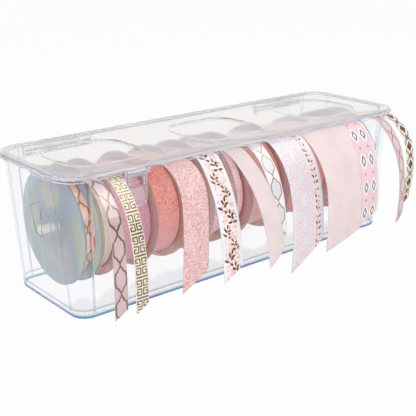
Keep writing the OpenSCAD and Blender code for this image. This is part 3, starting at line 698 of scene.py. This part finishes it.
CASE_CLEAR = clear_polystyrene("clear_case_polystyrene", "#8c9cec", 9.0)
LID_CLEAR = hazy_lid("hazy_lid_polystyrene", 0.06, 0.26)
LATCH_MILKY = hazy_lid("milky_latch_polystyrene", 0.1, 0.16)
REEL_CLOUDY = pearly_reel("cloudy_reel_styrene", 0.08, (
    "#a2c2ce", "#b8d2d8", "#cfdac6", "#aed0d4", "#bcc8da", "#ccd4d8", "#a6c6d4"))
# The inner reels' pearl tints, real in their spread, are painted warm for the pink light that the ribbons
# around them throw on the plastic
REEL_SHEER = pearly_reel("sheer_reel_styrene", 0.9, (
    "#e6c4be", "#dcb7a8", "#e0c09a", "#d6bfb2", "#ecccd2", "#d4b6b4", "#c3ccbc"))
ROD_IVORY = plain_rod("ivory_rod_abs")
PIN_STEEL = drawn_wire("drawn_hinge_wire")


# Building helpers

def activate(obj):
    """Makes an object the active one, and the only one selected."""
    bpy.ops.object.select_all(action="DESELECT")
    obj.select_set(True)
    bpy.context.view_layer.objects.active = obj


def dressed(name, node, material, bevel):
    """A merged copy of a CAD node with softened edges and even shading."""
    obj = bpy.data.objects.new(name, nodes[node].data.copy())
    bpy.context.scene.collection.objects.link(obj)
    activate(obj)
    if obj.data.has_custom_normals:
        bpy.ops.mesh.customdata_custom_splitnormals_clear()
    bpy.ops.object.mode_set(mode="EDIT")
    bpy.ops.mesh.select_all(action="SELECT")
    bpy.ops.mesh.remove_doubles(threshold=MERGE)
    bpy.ops.mesh.dissolve_limited(angle_limit=math.radians(0.4))
    bpy.ops.mesh.normals_make_consistent(inside=False)
    bpy.ops.object.mode_set(mode="OBJECT")
    obj.data.materials.clear()
    obj.data.materials.append(material)
    obj.data.polygons.foreach_set("material_index", np.zeros(len(obj.data.polygons), np.int32))
    if bevel:
        # The second slot only marks the faces of the rounded edges, on which the clear materials paint
        # refraction lines
        obj.data.materials.append(material)
        soften = obj.modifiers.new("soft_edges", "BEVEL")
        soften.width = bevel * MM
        soften.segments = 2
        soften.limit_method = "ANGLE"
        soften.angle_limit = SHARP
        soften.material = 1
        bpy.ops.object.modifier_apply(modifier=soften.name)
        rounded = np.zeros(len(obj.data.polygons), np.int32)
        obj.data.polygons.foreach_get("material_index", rounded)
        edge = obj.data.attributes.new("edge", "FLOAT", "FACE")
        edge.data.foreach_set("value", rounded.astype(np.float32))
        obj.data.polygons.foreach_set("material_index", np.zeros_like(rounded))
        obj.data.materials.pop()
    bpy.ops.object.shade_smooth_by_angle(angle=SHARP)
    even = obj.modifiers.new("even_shading", "WEIGHTED_NORMAL")
    even.keep_sharp = True
    even.weight = 80
    bpy.ops.object.modifier_apply(modifier=even.name)
    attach(obj, body_of[node])
    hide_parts(node)
    return obj


for name, node, material, bevel in (
    ("clear_tub", "tub", CASE_CLEAR, 0.45),
    ("clear_lid", "lid", LID_CLEAR, 0.4),
    ("clear_latch", "latch", LATCH_MILKY, 0.25),
    ("rod_holder_left", "end_plate_left", CASE_CLEAR, 0.3),
    ("rod_holder_right", "end_plate_right", CASE_CLEAR, 0.3),
):
    dressed(name, node, material, bevel)
for i in range(len(RIBBON_W)):
    at_end = i in (0, len(RIBBON_W) - 1)
    dressed(f"pearl_reel_{i + 1:02d}", f"reel_{i + 1:02d}", REEL_CLOUDY if at_end else REEL_SHEER,
            0)
for node, material in (
    ("spool_rod", ROD_IVORY),
    ("hinge_pin_left", PIN_STEEL),
    ("hinge_pin_right", PIN_STEEL),
    ("latch_pin", PIN_STEEL),
):
    nodes[node].data.materials.clear()
    nodes[node].data.materials.append(material)


# Ribbon

def leave_angle(run, rise, radius):
    """Angle on the roll where a straight line to a point is tangent to it."""
    return math.atan2(rise, -run) - math.acos(radius / math.hypot(run, rise))


def smooth(t):
    """Eased step from 0 to 1."""
    t = np.clip(t, 0, 1)
    return t * t * (3 - 2 * t)


def tail_plan(t):
    """Where a tail leaves its roll and crosses the slot."""
    i = t.spool
    low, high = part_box(f"roll_{i + 1:02d}")
    mid = (low.x + high.x) / 2 / MM
    last = i == len(RIBBON_W) - 1
    turn = CORNER_TURN if last else 0.0
    out = np.array([math.sin(turn), -math.cos(turn)])
    crest = np.array([mid + t.shift, -SLOT_Y])
    if last:
        crest = np.array([CORNER[0] + CORNER_OUT * math.sin(CORNER_PLACE),
                          -CORNER[1] - CORNER_OUT * math.cos(CORNER_PLACE)])
    inside = crest - out * (CORNER_REST if last else OVER_WALL)
    radius = FLANGE_R - ROLL_INSET[i] + TAIL_LIFT
    leave = leave_angle(-inside[1], CREST_Z - AXIS_Z, radius)
    return mid, turn, out, crest, inside, radius, leave


def tail_line(t):
    """Centre line of a tail in rows: x, y and z in millimetres, turn about z, and drop below the slot."""
    mid, turn, out, crest, inside, radius, leave = tail_plan(t)
    rows = []
    for a in np.linspace(leave - TAIL_WRAP, leave, 24, endpoint=False):
        rows.append((mid, radius * math.cos(a), AXIS_Z + radius * math.sin(a), 0.0, -1.0))
    start = radius * np.array([math.cos(leave), math.sin(leave)])
    for f in np.linspace(0, 1, 90, endpoint=False):
        s = float(smooth((f - FREE_FROM) / (1 - FREE_FROM)))
        rows.append((mid + (inside[0] - mid) * s, start[0] + (inside[1] - start[0]) * f,
                     AXIS_Z + start[1] + (CREST_Z - AXIS_Z - start[1]) * f, turn * s, -1.0))
    for f in np.linspace(0, 1, 12, endpoint=False):
        here = inside + (crest - inside) * f
        rows.append((here[0], here[1], CREST_Z, turn, -1.0))
    most = CREST_Z - t.tip
    for f in np.linspace(0, 1, 320):
        d = most * f ** 2
        low = max(0.0, 2 * d / most - 1)
        q = (t.reach - BEND_R) * (1 - math.exp(-d / t.fall))
        reach = q + BEND_R * (1 - math.exp(-math.sqrt(2 * q / BEND_R))) - t.curl * low * low
        here = crest + reach * out
        twisted = turn + math.radians(t.twist) * float(smooth(d / TWIST_DROP))
        rows.append((here[0], here[1], CREST_Z - d, twisted, d))
    return np.array(rows)


def hanging_ribbon(t, step):
    """One ribbon end as a thin closed sheet with its print in attributes, on a grid of the given step."""
    i = t.spool
    width = RIBBON_W[i]
    line = tail_line(t)
    run = np.concatenate([[0], np.cumsum(np.linalg.norm(np.diff(line[:, :3], axis=0), axis=1))])
    full = run[-1]
    # The right edge ends higher by the slant of the cut
    short = np.interp(CREST_Z - t.tip - t.slant * width, line[:, 4], run)
    across = max(8, round(width / step))
    along = round(full / step)
    share = np.linspace(0, 1, across + 1)
    flat_u = np.tile(share * width, (along + 1, 1))
    ends = full + (short - full) * share
    flat_v = np.linspace(0, 1, along + 1)[:, None] * ends[None, :]
    place = [np.interp(flat_v, run, line[:, k]) for k in range(4)]
    off = flat_u - width / 2
    # The free end cups a little across its width and sways along it
    free = smooth((flat_v - run[np.argmax(line[:, 4] >= 0)]) / FREE_OVER)
    cup = CUP * width * (0.25 - (off / width) ** 2) * free
    sway = SWAY * np.sin(flat_v / SWAY_LENGTH + i) * free
    push = cup + sway
    x = place[0] + off * np.cos(place[3]) + push * np.sin(place[3])
    y = place[1] + off * np.sin(place[3]) - push * np.cos(place[3])
    points = np.stack([x, y, place[2]], -1).reshape(-1, 3) * MM
    cols = across + 1
    faces = [(r * cols + c, (r + 1) * cols + c, (r + 1) * cols + c + 1, r * cols + c + 1)
             for r in range(along) for c in range(across)]
    name = f"ribbon_end_{i + 1:02d}"
    mesh = bpy.data.meshes.new(name)
    mesh.from_pydata(points.tolist(), [], faces)
    obj = bpy.data.objects.new(name, mesh)
    bpy.context.scene.collection.objects.link(obj)
    print_on(mesh, i, flat_u.ravel(), flat_v.ravel() + PRINT_SHIFT * i, False)
    activate(obj)
    bpy.ops.object.shade_smooth()
    body = obj.modifiers.new("cloth_thickness", "SOLIDIFY")
    body.thickness = THICK * MM
    body.offset = 0
    bpy.ops.object.modifier_apply(modifier=body.name)
    mesh.materials.append(ribbon_cloth(i, False))
    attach(obj, "case")
    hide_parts(f"tail_{i + 1:02d}")
    return obj


def print_on(mesh, i, u, v, wound):
    """Stores the ribbon's flat place and its print at every point of the mesh."""
    dark, pale, border = design(i, u, v, wound)
    for name, values in (("dark_print", dark), ("pale_print", pale), ("border", border)):
        layer = mesh.attributes.new(name, "FLOAT", "POINT")
        layer.data.foreach_set("value", np.clip(values, -2, 2).astype(np.float32))
    corner = np.zeros(len(mesh.loops), np.int32)
    mesh.loops.foreach_get("vertex_index", corner)
    uv = mesh.uv_layers.new(name="flat")
    uv.data.foreach_set("uv", (np.stack([u, v], -1)[corner] * MM).astype(np.float32).ravel())


def wound_ribbon(i, seam):
    """Ribbon wound in a spiral: a ridged profile turned about the rod, each turn growing into the next."""
    pitch = WIND_PITCH
    width = RIBBON_W[i]
    low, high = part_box(f"roll_{i + 1:02d}")
    x0, x1 = low.x / MM, high.x / MM
    outer = FLANGE_R - ROLL_INSET[i] - pitch
    turns = int((outer - CORE_R) / pitch)
    inner = outer - turns * pitch
    left = []
    for k in range(turns):
        left += [(x0, inner + k * pitch), (x0 + WIND_RIDGE, inner + (k + 0.55) * pitch)]
    count = max(10, round(width / WIND_GRID))
    top = [(x0 + (x1 - x0) * k / count, outer) for k in range(count + 1)]
    right = [(x0 + x1 - x, r) for x, r in reversed(left)]
    profile = left + top + right
    name = f"wound_ribbon_{i + 1:02d}"
    bpy.ops.object.select_all(action="DESELECT")
    bpy.ops.mesh.primitive_circle_add(vertices=len(profile), radius=0.01)
    obj = bpy.context.active_object
    obj.name = name
    obj.data.name = name
    for vertex, (x, r) in zip(obj.data.vertices, profile):
        vertex.co = (x * MM, r * MM, 0)
    obj.location = (0, 0, 0)
    # A turn just short of whole keeps the first and last profile apart, for the step of the spiral
    turned = obj.modifiers.new("turned_about_rod", "SCREW")
    turned.axis = "X"
    turned.angle = 2 * math.pi * 0.9999
    turned.steps = turned.render_steps = WIND_STEPS
    bpy.ops.object.modifier_apply(modifier=turned.name)
    co = np.zeros(len(obj.data.vertices) * 3)
    obj.data.vertices.foreach_get("co", co)
    co = co.reshape(-1, 3) / MM
    ring = np.arange(len(co)) // len(profile)
    radius = np.hypot(co[:, 1], co[:, 2])
    sign = 1.0 if co[len(profile), 2] > 0 else -1.0
    part = ring / WIND_STEPS
    grown = radius + pitch * part
    angle = seam + 2 * math.pi * part
    co[:, 1] = grown * np.cos(angle)
    co[:, 2] = AXIS_Z + grown * np.sin(angle)
    obj.data.vertices.foreach_set("co", (co * MM).ravel())
    if sign < 0:
        obj.data.flip_normals()
    print_on(obj.data, i, co[:, 0] - x0, 2 * math.pi * part * outer, True)
    activate(obj)
    bpy.ops.object.mode_set(mode="EDIT")
    bpy.ops.mesh.select_all(action="SELECT")
    bpy.ops.mesh.remove_doubles(threshold=MERGE)
    bpy.ops.mesh.select_all(action="SELECT")
    bpy.ops.mesh.fill_holes(sides=0)
    bpy.ops.mesh.select_all(action="SELECT")
    bpy.ops.mesh.normals_make_consistent(inside=False)
    bpy.ops.object.mode_set(mode="OBJECT")
    bpy.ops.object.shade_smooth_by_angle(angle=math.radians(40))
    obj.data.materials.clear()
    obj.data.materials.append(ribbon_cloth(i, True))
    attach(obj, f"spool_{i + 1:02d}")
    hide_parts(f"roll_{i + 1:02d}")
    return obj


seams = {t.spool: tail_plan(t)[-1] - TAIL_WRAP for t in TAILS}
for i in range(len(RIBBON_W)):
    wound_ribbon(i, seams.get(i, FREE_SEAM))
# Ends with no drawn print need a coarser grid only
for t in TAILS:
    hanging_ribbon(t, 1.0 if t.spool in (GLITTERED, *PLAIN_ENDS) else 0.5)


# Stage

def white_ground(name, shade):
    """Pale paper that the camera, mirrors and clear plastic see as white, with a faint shadow."""
    material, tree, out = new_material(name)
    paper = add(tree, "ShaderNodeBsdfDiffuse", {"Color": lin("#f4f4f4")})
    glow = add(tree, "ShaderNodeEmission", {"Color": (1, 1, 1, 1), "Strength": 1.0})
    path = add(tree, "ShaderNodeLightPath")
    clear = add(tree, "ShaderNodeMath", {".operation": "MAXIMUM"},
                {0: path.outputs["Is Glossy Ray"], 1: path.outputs["Is Transmission Ray"]})
    seen = add(tree, "ShaderNodeMath", {".operation": "MAXIMUM"},
               {0: path.outputs["Is Camera Ray"], 1: clear.outputs[0]})
    part = add(tree, "ShaderNodeMath", {".operation": "MULTIPLY", 1: 1 - shade}, {0: seen.outputs[0]})
    both = add(tree, "ShaderNodeMixShader", {},
               {0: part.outputs[0], 1: paper.outputs[0], 2: glow.outputs[0]})
    tree.links.new(both.outputs[0], out.inputs["Surface"])
    return material


bpy.ops.object.select_all(action="DESELECT")
bpy.ops.mesh.primitive_plane_add(size=8, location=(0, 0, -0.0005))
floor = bpy.context.active_object
floor.name = "paper_floor"
floor.data.materials.append(white_ground("white_paper", 0.04))

world = bpy.data.worlds.new("studio")
bpy.context.scene.world = world
world.use_nodes = True
sky = world.node_tree
sky.nodes.clear()
sky_out = add(sky, "ShaderNodeOutputWorld")
fill = add(sky, "ShaderNodeBackground", {"Color": (1, 1, 1, 1), "Strength": 0.43})
white = add(sky, "ShaderNodeBackground", {"Color": (1, 1, 1, 1), "Strength": 1.0})
# Mirrors and foil see a white room that is dim low down in front
heading = add(sky, "ShaderNodeTexCoord")
way = add(sky, "ShaderNodeSeparateXYZ", {}, {"Vector": heading.outputs["Generated"]})
front = add(sky, "ShaderNodeMapRange", {"From Min": -0.2, "From Max": -0.5},
            {"Value": way.outputs["Y"]})
low = add(sky, "ShaderNodeMapRange", {"From Min": 0.7, "From Max": 0.35, "To Max": 0.75},
          {"Value": way.outputs["Z"]})
dim = add(sky, "ShaderNodeMath", {".operation": "MULTIPLY"},
          {0: front.outputs["Result"], 1: low.outputs["Result"]})
room = add(sky, "ShaderNodeMath", {".operation": "SUBTRACT", 0: 1.0}, {1: dim.outputs[0]})
mirrored = add(sky, "ShaderNodeBackground", {"Color": (1, 1, 1, 1)}, {"Strength": room.outputs[0]})
ways = add(sky, "ShaderNodeLightPath")
seen = add(sky, "ShaderNodeMath", {".operation": "MAXIMUM"},
           {0: ways.outputs["Is Camera Ray"], 1: ways.outputs["Is Transmission Ray"]})
direct = add(sky, "ShaderNodeMixShader", {},
             {0: seen.outputs[0], 1: fill.outputs[0], 2: white.outputs[0]})
mixed = add(sky, "ShaderNodeMixShader", {},
            {0: ways.outputs["Is Glossy Ray"], 1: direct.outputs[0], 2: mirrored.outputs[0]})
sky.links.new(mixed.outputs[0], sky_out.inputs["Surface"])


def softbox(name, place, aim, size, power):
    """Rectangular lamp at a place, turned to its aim, of a size in metres and a power in watts."""
    lamp = bpy.data.lights.new(name, "AREA")
    lamp.shape = "RECTANGLE"
    lamp.size, lamp.size_y = size
    lamp.energy = power
    obj = bpy.data.objects.new(name, lamp)
    obj.location = place
    obj.rotation_euler = (Vector(aim) - Vector(place)).to_track_quat("-Z", "Y").to_euler()
    bpy.context.scene.collection.objects.link(obj)


AIM = (0, 0, 0.05)
softbox("key_box", (0.62, -0.3, 1.0), AIM, (0.9, 0.6), 3.8)
softbox("front_box", (-0.72, -0.88, 0.34), AIM, (0.7, 0.7), 5.6)
softbox("shine_box", (0.42, -0.86, 0.6), AIM, (0.34, 0.34), 0.9)
softbox("top_box", (0.0, 0.1, 1.1), AIM, (0.9, 0.6), 1.2)

# Camera fitted to the photo: 416 by 416 pixels, focal length 858.7 pixels, no shift
FOCAL_PX = 858.71
FRAME_PX = 416
camera = bpy.data.cameras.new("photo_camera")
camera.sensor_width = 36.0
camera.lens = FOCAL_PX * camera.sensor_width / FRAME_PX
camera.clip_start = 0.01
camera.clip_end = 20
eye = bpy.data.objects.new("photo_camera", camera)
turn = math.radians(-39.673)
rise = math.radians(19.065)
back = Vector((math.sin(turn) * math.cos(rise), -math.cos(turn) * math.cos(rise), math.sin(rise)))
eye.location = (-0.41798, -0.49644, 0.26056)
eye.rotation_mode = "QUATERNION"
eye.rotation_quaternion = (-back).to_track_quat("-Z", "Y")
bpy.context.scene.collection.objects.link(eye)
bpy.context.scene.camera = eye
bpy.context.scene.view_settings.view_transform = "Standard"
# Enough bounces for the many clear walls that a ray crosses
cycles = bpy.context.scene.cycles
cycles.transparent_max_bounces = 48
cycles.transmission_bounces = 16
cycles.glossy_bounces = 16
cycles.max_bounces = 24
